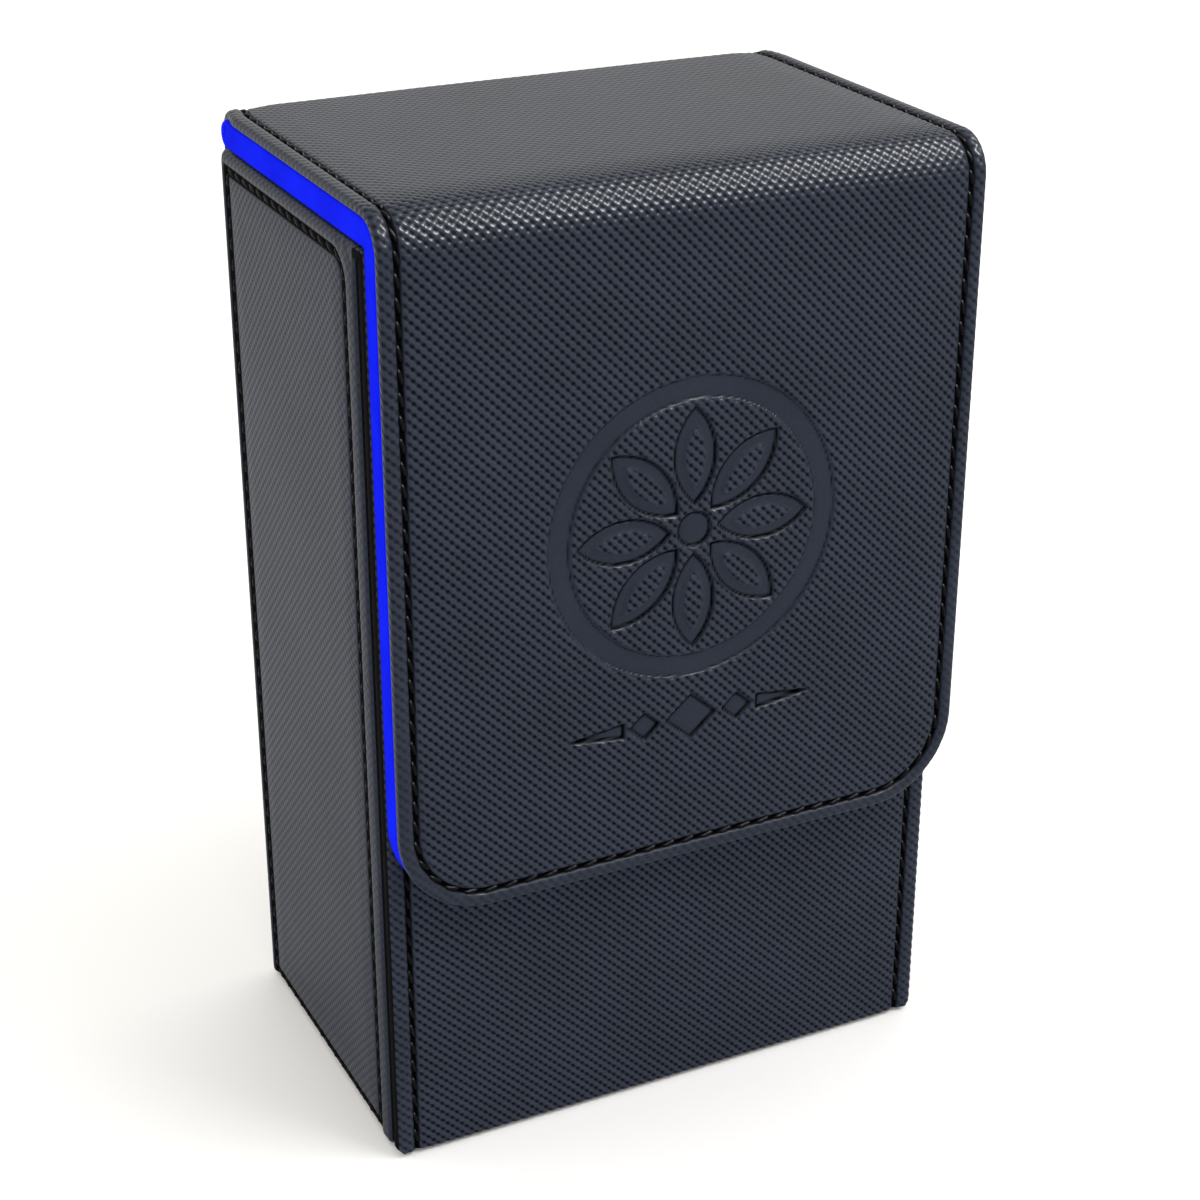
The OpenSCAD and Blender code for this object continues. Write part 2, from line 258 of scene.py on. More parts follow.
def panel(name, low, high, sdf, place, top, depth, r, material, cell=CELL, cuts=(),
          under=0.0, flange=1.5, marks=plain, painted_shade_below=None, sunk=0.0):
    """A panel with turned edges. low and high bound its flat pattern (u, v) and sdf is the
    signed distance to its outline there. top(u, v) is the face's height and depth(u, v) the
    edge's thickness. r rounds the edge over, and under rounds it below. place(u, v, h) puts
    a pattern point in space. cuts are values of v where the panel is joined to another.
    marks(u, v) gives what the finish needs: distance to the smooth ornament, distance to a seam
    and the lattice's share. Where the turned edge falls deeper than the given painted-shade
    depth, it gets the near-black painted shade material, and so does the face up to sunk from a
    seam's line; sunk also pulls the grid onto that boundary. flange is the edge's hidden lip
    below."""
    us = np.arange(math.floor(low[0] / cell), math.ceil(high[0] / cell) + 1) * cell
    vs = np.arange(math.floor(low[1] / cell), math.ceil(high[1] / cell) + 1) * cell
    for cut in cuts:
        vs = vs[vs > cut - cell / 2] if cut < (low[1] + high[1]) / 2 else vs[vs < cut + cell / 2]
    cut_rows = {0 if cut < (low[1] + high[1]) / 2 else len(vs) - 1 for cut in cuts}
    u, v = np.meshgrid(us, vs, indexing="ij")
    mid_u, mid_v = np.meshgrid(us[:-1] + cell / 2, vs[:-1] + cell / 2, indexing="ij")
    cells = sdf(mid_u, mid_v) + r < 0
    path, closed = outline_path(cells, lambda i, j: j in cut_rows)
    pi, pj = path[:, 0], path[:, 1]
    pu, pv = u[pi, pj].copy(), v[pi, pj].copy()
    for _ in range(3):
        away = sdf(pu, pv) + r
        gu, gv = slope(sdf, pu, pv)
        size = np.hypot(gu, gv) + 1e-9
        gu, gv = gu / size, gv / size
        pu, pv = pu - away * gu, pv - away * gv
    u[pi, pj], v[pi, pj] = pu, pv
    if sunk:
        u, v = pull_onto(u, v, lambda a, b: marks(a, b)[1] - sunk, cell / 2, (pi, pj))

    used = np.zeros(u.shape, bool)
    for di in (0, 1):
        for dj in (0, 1):
            used[di : di + cells.shape[0], dj : dj + cells.shape[1]] |= cells
    number = np.full(u.shape, -1)
    number[used] = np.arange(used.sum())
    height = top(u[used], v[used])
    points = [place(u[used], v[used], height)]
    cloth = [np.stack([u[used], v[used], height], 1)]
    form = [np.stack(marks(u[used], v[used]), 1)]
    ci, cj = np.nonzero(cells)
    quads = [np.stack([number[ci, cj], number[ci + 1, cj], number[ci + 1, cj + 1],
                       number[ci, cj + 1]], 1)]

    face = top(pu, pv)
    before = number[pi, pj]
    count = len(height)
    # Quads of the face within sunk of a seam get the painted shade material.
    painted_shade_quads = [(marks(mid_u[cells], mid_v[cells])[1] < sunk).astype(int)]
    rim = marks(pu, pv)
    turn = np.arange(len(path))
    after = np.roll(turn, -1) if closed else turn[1:]
    here = turn if closed else turn[:-1]
    for out, fall, run in edge_rings(depth(pu, pv), r, under, flange):
        ru, rv = pu + gu * out, pv + gv * out
        level = face + fall
        points.append(place(ru, rv, level))
        cloth.append(np.stack([pu + gu * run, pv + gv * run, level], 1))
        form.append(np.stack(rim, 1))
        # Rings deeper than the painted-shade depth get the painted shade material.
        painted_shade_quads.append(np.full(len(here), np.max(fall) < -(painted_shade_below or 0), int))
        ring = count + turn
        quads.append(np.stack([before[here], ring[here], ring[after], before[after]], 1))
        before = ring
        count += len(turn)
    points, cloth, quads = np.concatenate(points), np.concatenate(cloth), np.concatenate(quads)
    form = np.concatenate(form)

    # the first quad tells whether the face looks outward
    a, b, c = points[quads[0, [0, 1, 3]]]
    at_u, at_v, at_h = cloth[quads[0, 0]][:, None]
    lift = place(at_u, at_v, at_h + 1) - place(at_u, at_v, at_h)
    if np.cross(b - a, c - a) @ lift[0] < 0:
        quads = quads[:, ::-1]
    return make_mesh(name, points, quads, cloth, material, form,
                     None if painted_shade_below is None else np.concatenate(painted_shade_quads))


def stitches(name, runs, place, level, material, thick=1.0):
    """Separate stitches of twisted thread, as one piece. runs is a list of polylines in the
    flat pattern, level is the thread's height there, and each stitch bends down into the
    leather at its ends."""
    rings, sides, plies, twist = 9, 12, 3, 2.2
    t = np.linspace(-1, 1, rings)[:, None]
    a = np.arange(sides)[None, :] * 2 * math.pi / sides
    along = STITCH / 2 * t
    ply = 1 + 0.09 * np.cos(plies * (a - twist * along))
    radius = thick * THREAD_R * (1 - 0.28 * t**6) * ply
    dip = -STITCH_DIP * np.abs(t) ** 5
    tx = (along + 0 * a).ravel()
    ty = (radius * np.cos(a)).ravel()
    tz = (radius * np.sin(a) + dip).ravel()
    i, j = np.meshgrid(np.arange(rings - 1), np.arange(sides), indexing="ij")
    k = (j + 1) % sides
    quad = np.stack([i * sides + j, (i + 1) * sides + j, (i + 1) * sides + k, i * sides + k], -1)
    quad = quad.reshape(-1, 4)
    half = np.arange(sides // 2 - 1)
    caps = [
        np.stack([e + half, e + half + 1, e + sides - 2 - half, e + sides - 1 - half], 1)
        for e in (0, (rings - 1) * sides)
    ]
    quad = np.concatenate([quad, caps[0], caps[1][:, ::-1]])
    points, cloth, quads, count = [], [], [], 0
    rng = np.random.default_rng(7)
    for run in runs:
        run = np.array(run, float)
        gaps = np.hypot(*np.diff(run, axis=0).T)
        reach = np.concatenate([[0], np.cumsum(gaps)])
        n = max(1, round(reach[-1] / PITCH))
        at = (np.arange(n) + 0.5) * reach[-1] / n
        cu, cv = np.interp(at, reach, run[:, 0]), np.interp(at, reach, run[:, 1])
        ahead_u = np.interp(at + 0.4, reach, run[:, 0]) - np.interp(at - 0.4, reach, run[:, 0])
        ahead_v = np.interp(at + 0.4, reach, run[:, 1]) - np.interp(at - 0.4, reach, run[:, 1])
        angle = np.arctan2(ahead_v, ahead_u) + STITCH_SLANT + rng.normal(0, 0.05, n)
        for q in range(n):
            c, s = math.cos(angle[q]), math.sin(angle[q])
            u = cu[q] + tx * c - ty * s
            v = cv[q] + tx * s + ty * c
            h = level + tz + rng.normal(0, 0.02)
            points.append(place(u, v, h))
            cloth.append(np.stack([tx + 40 * q, ty, tz], 1))
            quads.append(quad + count)
            count += len(tx)
    return make_mesh(name, np.concatenate(points), np.concatenate(quads),
                     np.concatenate(cloth), material)


# ---------------------------------------------------------------- materials
class Nodes:
    """A material's node tree, with short calls for the nodes used here."""

    def __init__(self, name):
        self.material = bpy.data.materials.new(name)
        self.material.use_nodes = True
        self.tree = self.material.node_tree
        self.shader = self.tree.nodes["Principled BSDF"]

    def new(self, kind, **values):
        node = self.tree.nodes.new(kind)
        for key, value in values.items():
            setattr(node, key, value)
        return node

    def link(self, a, b):
        self.tree.links.new(a, b)

    def math(self, op, a, b=None, c=None):
        node = self.new("ShaderNodeMath", operation=op)
        for socket, value in zip(node.inputs, (a, b, c)):
            if value is None:
                continue
            if isinstance(value, (int, float)):
                socket.default_value = value
            else:
                self.link(value, socket)
        return node.outputs[0]

    def place(self, name="cloth"):
        node = self.new("ShaderNodeAttribute", attribute_name=name)
        split = self.new("ShaderNodeSeparateXYZ")
        self.link(node.outputs["Vector"], split.inputs[0])
        return node.outputs["Vector"], split.outputs[0], split.outputs[1]

    def noise(self, vector, scale, detail=2.0, rough=0.5):
        node = self.new("ShaderNodeTexNoise")
        node.inputs["Scale"].default_value = scale
        node.inputs["Detail"].default_value = detail
        node.inputs["Roughness"].default_value = rough
        self.link(vector, node.inputs["Vector"])
        return node.outputs["Fac"]

    def spread(self, value, low, high, to_low, to_high):
        node = self.new("ShaderNodeMapRange")
        self.link(value, node.inputs["Value"])
        for socket, number in zip(node.inputs[1:5], (low, high, to_low, to_high)):
            socket.default_value = number
        return node.outputs[0]

    def ramp(self, value, stops):
        node = self.new("ShaderNodeValToRGB")
        self.link(value, node.inputs[0])
        bar = node.color_ramp.elements
        while len(bar) < len(stops):
            bar.new(0.5)
        for element, (at, colour) in zip(bar, stops):
            element.position = at
            element.color = (*colour, 1)
        return node.outputs["Color"]

    def bump(self, height, distance, strength=1.0, after=None):
        node = self.new("ShaderNodeBump")
        node.inputs["Strength"].default_value = strength
        node.inputs["Distance"].default_value = distance
        self.link(height, node.inputs["Height"])
        if after:
            self.link(after, node.inputs["Normal"])
        return node.outputs["Normal"]

    def finish(self, colour=None, rough=None, normal=None, **values):
        for key, value in values.items():
            self.shader.inputs[key.replace("_", " ")].default_value = value
        for socket, value in (("Base Color", colour), ("Roughness", rough), ("Normal", normal)):
            if value is not None:
                self.link(value, self.shader.inputs[socket])
        return self.material


BLACK = (0.0225, 0.029, 0.046)  # the leather, a cold black
SHINE = 0.07


def leather(name):
    """Coated leather cloth, pressed with a fine diagonal lattice of pads and pits. The pits and
    the seams' grooves get painted shade, in the base colour and in the specular tint, and the
    pads keep a low sheen."""
    n = Nodes(name)
    vector, u, v = n.place()
    form = n.new("ShaderNodeAttribute", attribute_name="form")
    split = n.new("ShaderNodeSeparateXYZ")
    n.link(form.outputs["Vector"], split.inputs[0])
    smooth, seam, share = split.outputs
    rising = n.math("COSINE", n.math("MULTIPLY", n.math("ADD", u, v), WAVE))
    falling = n.math("COSINE", n.math("MULTIPLY", n.math("SUBTRACT", u, v), WAVE))
    wave = n.math("ADD", n.math("MULTIPLY", rising, 0.68), n.math("MULTIPLY", falling, 0.32))
    share = n.math("MULTIPLY", share, n.spread(smooth, 0.05, 0.35, 0.0, 1.0))
    # Painted shade in the lattice's pits; the same mask also makes the pits rougher.
    pits_and_painted_shade = n.math("MULTIPLY", n.spread(wave, -0.8, 0.3, 1.0, 0.0), share)
    # Painted shade along the seams' grooves and the ornament's lines, near black on the line; the
    # same mask also roughens and dents them.
    groove_and_painted_shade = n.spread(seam, 0.26, 0.52, 1.0, 0.0)
    grain = n.noise(vector, 2.6, 4.0, 0.6)
    pores = n.noise(vector, 9.0, 2.0, 0.6)
    patch = n.noise(vector, 0.06, 3.0, 0.55)
    # Painted shade: the colour falls in the pits and the grooves.
    painted_shade_factor = n.math("SUBTRACT", 1.0, n.math("MULTIPLY", pits_and_painted_shade, 0.88))
    painted_shade_factor = n.math("MULTIPLY", painted_shade_factor, n.math("SUBTRACT", 1.0, n.math("MULTIPLY", groove_and_painted_shade, 0.97)))
    # Darker where the lattice's share is low (smooth ground, borders, lid top), to match the
    # pits' painted shade on average.
    painted_shade_factor = n.math("MULTIPLY", painted_shade_factor, n.math("MULTIPLY_ADD", share, 0.28, 0.72))
    tone = n.math("MULTIPLY_ADD", grain, 0.5, n.math("MULTIPLY", patch, 0.5))
    level = n.math("MULTIPLY", painted_shade_factor, n.spread(tone, 0.3, 0.7, 0.8, 1.2))
    black = n.new("ShaderNodeVectorMath", operation="SCALE")
    black.inputs[0].default_value = BLACK
    n.link(level, black.inputs["Scale"])
    # The painted shade also takes the reflection out of the pits and the grooves.
    n.link(painted_shade_factor, n.shader.inputs["Specular Tint"])
    rough = n.spread(n.math("MULTIPLY_ADD", pores, 0.4, grain), 0.3, 1.0, 0.28, 0.42)
    rough = n.math("MULTIPLY_ADD", pits_and_painted_shade, 0.2, rough)
    rough = n.math("MULTIPLY_ADD", groove_and_painted_shade, 0.6, rough)
    relief = n.math("MULTIPLY_ADD", grain, 0.5, n.math("MULTIPLY", pores, 0.2))
    normal = n.bump(n.math("MULTIPLY", wave, share), 0.00005, 1.0)
    normal = n.bump(groove_and_painted_shade, -0.00015, 1.0, normal)
    normal = n.bump(relief, 0.00006, 0.6, normal)
    return n.finish(black.outputs[0], rough, normal, Specular_IOR_Level=SHINE)


def painted_shade_edge(name):
    """A near-black matt finish that paints shade onto the turned edges deep in the gaps, the
    joint beside the front corner and the side's seams.
    """
    n = Nodes(name)
    fibre = n.noise(n.place()[0], 3.0, 4.0, 0.65)
    colour = n.ramp(fibre, [(0.3, (0.001, 0.001, 0.001)), (0.7, (0.005, 0.005, 0.006))])
    return n.finish(colour, n.spread(fibre, 0.2, 0.8, 0.8, 1.0), n.bump(fibre, 0.0001, 0.6),
                    Specular_IOR_Level=0.03)


def microfibre(name, low, high):
    """Short-napped lining cloth, brushed in soft patches over a fine weave."""
    n = Nodes(name)
    yarn = 2 * math.pi / 0.32
    vector, u, v = n.place()
    nap = n.noise(vector, 4.5, 5.0, 0.7)
    brushed = n.noise(vector, 0.12, 3.0, 0.6)
    warp = n.math("SINE", n.math("MULTIPLY", u, yarn))
    weft = n.math("SINE", n.math("MULTIPLY", v, yarn))
    weave = n.math("MULTIPLY", warp, weft)
    tone = n.math("MULTIPLY_ADD", n.math("SUBTRACT", brushed, 0.5), 0.7, nap)
    colour = n.ramp(tone, [(0.25, low), (0.75, high)])
    rough = n.spread(nap, 0.2, 0.8, 0.8, 1.0)
    normal = n.bump(n.math("MULTIPLY_ADD", weave, 0.25, nap), 0.00006, 0.6)
    return n.finish(colour, rough, normal, Specular_IOR_Level=0.02)


def waxed_thread(name):
    """Black thread, a little shinier than the near-black painted shade of the edges."""
    n = Nodes(name)
    fibre = n.noise(n.place()[0], 6.0, 3.0, 0.6)
    colour = n.ramp(fibre, [(0.3, (0.001, 0.001, 0.001)), (0.8, (0.006, 0.006, 0.007))])
    rough = n.spread(fibre, 0.2, 0.8, 0.3, 0.55)
    return n.finish(colour, rough, n.bump(fibre, 0.00005, 0.7), Specular_IOR_Level=0.04)


def solid(name, scale, low, high, rough_low, rough_high, depth, metallic=0.0):
    """A finish for the pieces inside, from noise in the part's own space."""
    n = Nodes(name)
    space = n.new("ShaderNodeTexCoord").outputs["Object"]
    grain = n.noise(space, scale, 5.0, 0.65)
    coarse = n.noise(space, scale / 9, 3.0, 0.5)
    mix = n.math("MULTIPLY_ADD", n.math("SUBTRACT", coarse, 0.5), 0.6, grain)
    colour = n.ramp(mix, [(0.3, low), (0.7, high)])
    rough = n.spread(grain, 0.3, 0.7, rough_low, rough_high)
    return n.finish(colour, rough, n.bump(grain, depth, 0.6), Metallic=metallic)


LEATHER = leather("leather_cloth")
# Painted shade for the deep turned edges, the joint and the side's seams
PAINTED_SHADE_EDGE = painted_shade_edge("painted_shade_edge")
LINING = microfibre("blue_microfibre", (0.001, 0.005, 0.61), (0.004, 0.015, 0.90))
THREAD = waxed_thread("waxed_thread")
BOARD = solid("greyboard", 900, (0.3, 0.27, 0.22), (0.46, 0.42, 0.36), 0.8, 0.95, 0.00008)
FOAM = solid("foam_sheet", 2200, (0.05, 0.05, 0.055), (0.1, 0.1, 0.11), 0.85, 1.0, 0.00015)
NICKEL = solid("nickel_plate", 500, (0.62, 0.6, 0.56), (0.75, 0.73, 0.7), 0.2, 0.34, 0.00001, 1.0)


# ---------------------------------------------------------------- the flap's leather
def strip(x, s, h):
    """A point of the flap leather's pattern, h out from its outer face."""
    x, s, h = np.broadcast_arrays(x, s, h)
    fold = (s - S_CREASE) / CREASE_R
    turn = (s - S_HINGE) / HINGE_R
    zones = [s < S_CREASE, s < S_TOP, s < S_HINGE, s < S_BACK]
    y = np.select(zones, [
        FRONT_Y - h,
        CREASE_Y - (CREASE_R + h) * np.cos(fold),
        CREASE_Y + s - S_TOP,
        HINGE_Y + (HINGE_R + h) * np.sin(turn),
    ], BACK_Y + h)
    z = np.select(zones, [
        FLAP_Z + s,
        CREASE_Z + (CREASE_R + h) * np.sin(fold),
        TOP_Z + h,
        HINGE_Z + (HINGE_R + h) * np.cos(turn),
    ], HINGE_Z - (s - S_BACK))
    return np.stack([x, y, z], -1)


def strip_half(s):
    """The leather narrows a little where it turns down the back."""
    return HALF - 0.6 * ramp(s, S_HINGE - 3.5, S_HINGE + 1.5)


def strip_edge(x, s):
    half = strip_half(s)
    bottom = rounded(x, s, (-half, 0), (half, 2 * S_END), CORNER_R, CORNER_R)
    back = rounded(x, s, (-half, -S_END), (half, S_END - 0.4), 2.0, 2.0)
    return np.maximum(bottom, back)


def petal(x, y, r0, r1, w):
    """Signed distance to a pointed petal of width w that runs from r0 to r1 along y."""
    h = (r1 - r0) / 2
    big = (h * h + w * w / 4) / w
    y = y - r0 - h
    return np.hypot(np.abs(x) + big - w / 2, y) - big


def lozenge(x, y, a, b):
    """Signed distance to a lozenge a wide and b high."""
    return (np.abs(x) / a + np.abs(y) / b - 0.5) * a * b / math.hypot(a, b)


RING_Z, RING_R, RING_W = 85.3, 19.8, 2.7
PETALS = 8
HUB_R = 2.2
ROW_Z, ROW_HALF = 59.4, 16.9
BAR_IN = 9.6  # where the row's outer bars begin


def ornament(x, z):
    """Signed distances to the pressed ornament, a ring of petals over a row of lozenges:
    to its smooth ground, and to the fine lines drawn in it."""
    y = z - RING_Z
    r, a = np.hypot(x, y), np.arctan2(x, y)
    ring = np.abs(r - RING_R + RING_W / 2) - RING_W / 2
    wedge = 2 * math.pi / PETALS
    a = (a + wedge / 2) % wedge - wedge / 2
    px, py = r * np.sin(a), r * np.cos(a)
    inner = RING_R - RING_W
    leaf = petal(px, py, 3.4, inner - 1.2, 5.6)
    heart = petal(px, py, 5.2, inner - 3.2, 3.2)
    low = z - ROW_Z
    ax = np.abs(x)
    bar = np.abs(low) - 0.9 * np.clip((ROW_HALF - ax) / (ROW_HALF - BAR_IN), 0, 1)
    bar = np.maximum(bar, np.maximum(BAR_IN - ax, ax - ROW_HALF))
    row = np.minimum(np.minimum(lozenge(x, low, 7, 6), lozenge(ax - 6.6, low, 4, 3.6)), bar)
    band = np.minimum(np.maximum(leaf, -heart), r - HUB_R)
    ground = np.minimum(np.minimum(ring, band), row) - 0.1
    line = np.minimum(np.minimum(np.abs(leaf), np.abs(r - HUB_R)), np.abs(row))
    line = np.minimum(line, np.abs(ring) + 0.12)
    return ground, line


def sunk_seam(away):
    """How far a seam draws the leather down, at a distance from its stitch line."""
    return 0.42 * hump(away, 0.46)


def unflattened(away):
    """The lattice's share that a seam leaves, at a distance from its stitch line."""
    return 1 - 0.9 * hump(away, 0.5)


def strip_quilt(x, s):
    """The padded leather's level, and its lattice's share. The share is lower in the border
    outside the stitches, most of all near the flap's bottom, and halved over the lid."""
    d = -strip_edge(x, s)
    level = -0.2 + 0.24 * ramp(d, INSET, INSET + 4.5)
    level += 0.2 * swell(d - 0.2, INSET - 0.4) - sunk_seam(d - INSET)
    border = 0.4 + 0.35 * ramp(s, 15, 55)
    share = border + (1 - border) * ramp(d, INSET + 0.3, INSET + 1.0)
    share = share * unflattened(d - INSET)
    return level, share * (1 - 0.5 * ramp(s, S_TOP - 1, S_TOP + 6))


def on_flap(s):
    """True on the flap's flat front, where the ornament is."""
    return s < S_CREASE - 5


def strip_top(x, s):
    """The leather's whole height: padding, pressed ornament, crown over the lid, lattice."""
    d = -strip_edge(x, s)
    level, share = strip_quilt(x, s)
    ground, line = ornament(x, FLAP_Z + s)
    pressed = ramp(-ground, -0.2, 0.2) * on_flap(s)
    level -= 0.34 * pressed + 0.16 * hump(line, 0.3) * on_flap(s)
    share = share * (1 - 0.95 * pressed)
    crown = 0.12 * (1 - (x / HALF) ** 2) * ramp(s, S_TOP - 4, S_TOP + 12)
    crown *= 1 - ramp(s, S_HINGE - 4, S_BACK)
    level += crown + 0.06 * drift(x, s, 1.3) * ramp(d, INSET, INSET + 8)
    return level + 0.11 * share * lattice(x, s)


def strip_marks(x, s):
    d = -strip_edge(x, s)
    ground, line = ornament(x, FLAP_Z + s)
    # The ornament's lines count as seams here, so they get the grooves' painted shade.
    seam = np.minimum(np.abs(d - INSET), np.where(on_flap(s), line + 0.2, FAR))
    return np.where(on_flap(s), ground, FAR), seam, strip_quilt(x, s)[1]


def strip_depth(x, s):
    """The edge's thickness, less down the back, where there is no foam."""
    return OUTER_T - 0.22 - 0.5 * ramp(s, S_HINGE + 1.5, S_BACK - 1.0)


def strip_runs(low, high):
    """The flap's stitch line, left and right, between two lengths along the leather."""
    runs = []
    for side in (-1, 1):
        s = np.linspace(low, high, 60)
        runs.append(np.stack([side * (strip_half(s) - INSET), s], 1))
    return runs


# The leather is one length, cut here into two pieces
CUT = math.floor((S_HINGE - 0.2) / CELL) * CELL
THREAD_LEVEL = -0.4

flap_leather = panel("flap_leather", (-HALF, 0), (HALF, CUT), strip_edge, strip, strip_top,
                     strip_depth, 0.6, LEATHER, cuts=(CUT,), marks=strip_marks)
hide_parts("flap_cover", "crease_cover", "lid_cover")
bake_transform(flap_leather)

back_leather = panel("back_leather", (-HALF, CUT), (HALF, S_END), strip_edge, strip, strip_top,
                     strip_depth, 0.6, LEATHER, cuts=(CUT,), marks=strip_marks)
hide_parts("hinge_strip", "back_panel")
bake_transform(back_leather)

arc = CORNER_R - INSET
turn = np.linspace(0, math.pi / 2, 12)
corner_x = HALF - CORNER_R + arc * np.sin(turn)
corner_s = CORNER_R - arc * np.cos(turn)
bottom_run = np.concatenate([
    np.stack([-corner_x[::-1], corner_s[::-1]], 1), np.stack([corner_x, corner_s], 1)])
flap_runs = [bottom_run, *strip_runs(CORNER_R, CUT)]
flap_thread = stitches("flap_thread", flap_runs, strip, THREAD_LEVEL, THREAD)
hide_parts("flap_stitching", "crease_stitching", "lid_stitching")
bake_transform(flap_thread)

back_runs = strip_runs(CUT, S_END - INSET)
half = HALF - 0.6 - INSET
back_runs.append([(-half, S_END - INSET - 0.2), (half, S_END - INSET - 0.2)])
back_thread = stitches("back_thread", back_runs, strip, THREAD_LEVEL, THREAD)
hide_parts("back_stitching")
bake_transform(back_thread)


# ---------------------------------------------------------------- the flap's lined inner panel
IN_R = UNDER_Z - CREASE_Z  # the fold's inner corner
FOLD_R = IN_R + INNER_T
END_R = INNER_T / 2  # the round back end under the lid

# Lengths along the panel, from the flap's bottom edge up, round the fold and back
L_CREASE = CREASE_Z - liner_lo[2]
L_TOP = L_CREASE + FOLD_R * math.pi / 2
L_TURN = L_TOP + under_hi[1] - END_R - CREASE_Y
L_END = L_TURN + END_R * math.pi
INNER_HALF = under_hi[0]
LINER_EDGE = 0.45


def inner(x, s, h):
    """A point of the inner panel's pattern, h out from its face. The pattern runs up the
    flap, round the fold, back under the lid and round the panel's back end."""
    x, s, h = np.broadcast_arrays(x, s, h)
    fold = np.clip((s - L_CREASE) / FOLD_R, 0, math.pi / 2)
    turn = np.clip((s - L_TURN) / END_R, 0, math.pi)
    below = np.minimum(s, L_CREASE) - L_CREASE
    ahead = np.clip(s - L_TOP, 0, L_TURN - L_TOP) - np.maximum(s - L_END, 0)
    y = CREASE_Y - (IN_R - h) * np.cos(fold) + ahead + (END_R + h) * np.sin(turn)
    z = CREASE_Z + (IN_R - h) * np.sin(fold) + below + (END_R + h) * (1 - np.cos(turn))
    return np.stack([x, y, z], -1)


def inner_edge(x, s):
    """Signed distance to the panel's outline. It runs on past the round back end."""
    bottom = rounded(x, s, (-INNER_HALF, 0), (INNER_HALF, 2 * L_END), CORNER_R - 0.1, 1)
    return np.maximum(bottom, s - L_END - 1.2)


def inner_top(x, s):
    """The lining's height: a pressed line along the board's edge, and a slow unevenness."""
    d = -inner_edge(x, s)
    level = -0.16 * hump(d - 3.2, 0.45) * ramp(L_TURN - s, 1.5, 3)
    calm = 1 - hump(s - L_CREASE - FOLD_R * 0.8, 5)
    return level + 0.04 * drift(x, s, 4.0) * ramp(d, 2, 6) * ramp(L_TURN - s, 0, 4) * calm


def inner_depth(x, s):
    return np.where(s > L_TURN, END_R - 0.02, INNER_T)


flap_liner = panel("flap_liner", (-INNER_HALF, 0), (INNER_HALF, L_END + 1), inner_edge, inner,
                   inner_top, inner_depth, LINER_EDGE, LINING, cell=0.5, under=LINER_EDGE)
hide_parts("flap_lining", "crease_lining", "lid_lining")
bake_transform(flap_liner)


# ---------------------------------------------------------------- the box body's leather
RIM_R = 1.1
EDGE_R = 0.8
WALL_T = 1.5  # how thick the wrapped edges look

# Heights on the pattern where a wall starts to turn over the rim and where it has turned
V_RIM = RIM_Z - RIM_R
V_OVER = V_RIM + RIM_R * math.pi / 2


def wall(v, h, reach):
    """Height up the wall and distance in from its face, over the rim and down inside."""
    bend = np.clip((v - V_RIM) / RIM_R, 0, math.pi / 2)
    ahead = np.clip(v - V_OVER, 0, reach)
    down = np.maximum(v - V_OVER - reach, 0)
    z = np.minimum(v, V_RIM) + (RIM_R + h) * np.sin(bend) - down
    back = RIM_R - (RIM_R + h) * np.cos(bend) + ahead
    return z, back


SIDE_REACH = SIDE_X - INSIDE_X - RIM_R + 0.15
SIDE_LO, SIDE_HI = -BODY_Y + EDGE_R, BODY_Y + 0.1
SIDE_V = V_OVER + SIDE_REACH + 0.6
GAP = -BODY_Y + 3.0  # where the side comes up out of the joint beside the front corner
JOINT = 0.62  # how deep that joint is

# The side's stitched outline, and the radius of its top front corner
LINE_FRONT, LINE_BACK = -BODY_Y + 6.6, BODY_Y - 1.9
LINE_LOW, LINE_HIGH = 1.2, RIM_Z - 2.6
LINE_R = 3.2


def side_edge(u, v):
    return rounded(u, v, (SIDE_LO, 0), (SIDE_HI, SIDE_V), 0.9, 0.9)


def side_line(u, v):
    """Signed distance to the side's stitched outline, with its round top front corner."""
    low, high = (LINE_FRONT, LINE_LOW), (LINE_BACK, LINE_HIGH)
    square = rounded(u, v, low, high, 0.05, 0.05)
    round_one = rounded(u, v, low, high, LINE_R, LINE_R)
    at_corner = (u < LINE_FRONT + LINE_R) & (v > LINE_HIGH - LINE_R)
    return np.where(at_corner, round_one, square)


def joint(u):
    """1 down in the joint beside the front corner, 0 on the side's face."""
    return ramp(-u, -GAP - 0.3, -GAP + 0.3)


def side_marks(u, v):
    """The joint beside the front corner gets the seams' painted shade all over, and the stitched
    seams' painted shade is wide.
    """
    line = side_line(u, v)
    share = (0.3 + 0.15 * ramp(-line, 0.3, 1.0)) * unflattened(line)
    seam = np.where(u < GAP, 0.0, 0.6 * np.abs(line))
    return same(u, FAR), seam, share


def side_top(u, v):
    d, line = -side_edge(u, v), side_line(u, v)
    level = -0.12 + 0.16 * ramp(-line, 0, 4)
    border_w = np.where(u < LINE_FRONT, LINE_FRONT - GAP, 2.4)
    level += 0.2 * swell(line, border_w) * ramp(V_RIM + 2 - v, 0, 2)
    level -= 0.4 * hump(line, 0.6)
    level -= JOINT * joint(u)
    share = side_marks(u, v)[2]
    level += 0.06 * drift(u, v, 2.2) * ramp(-line, 0, 8)
    return level + 0.08 * share * lattice(u, v) * ramp(d, 0.3, 0.9)


def side_depth(u, v):
    return WALL_T - JOINT * joint(u)


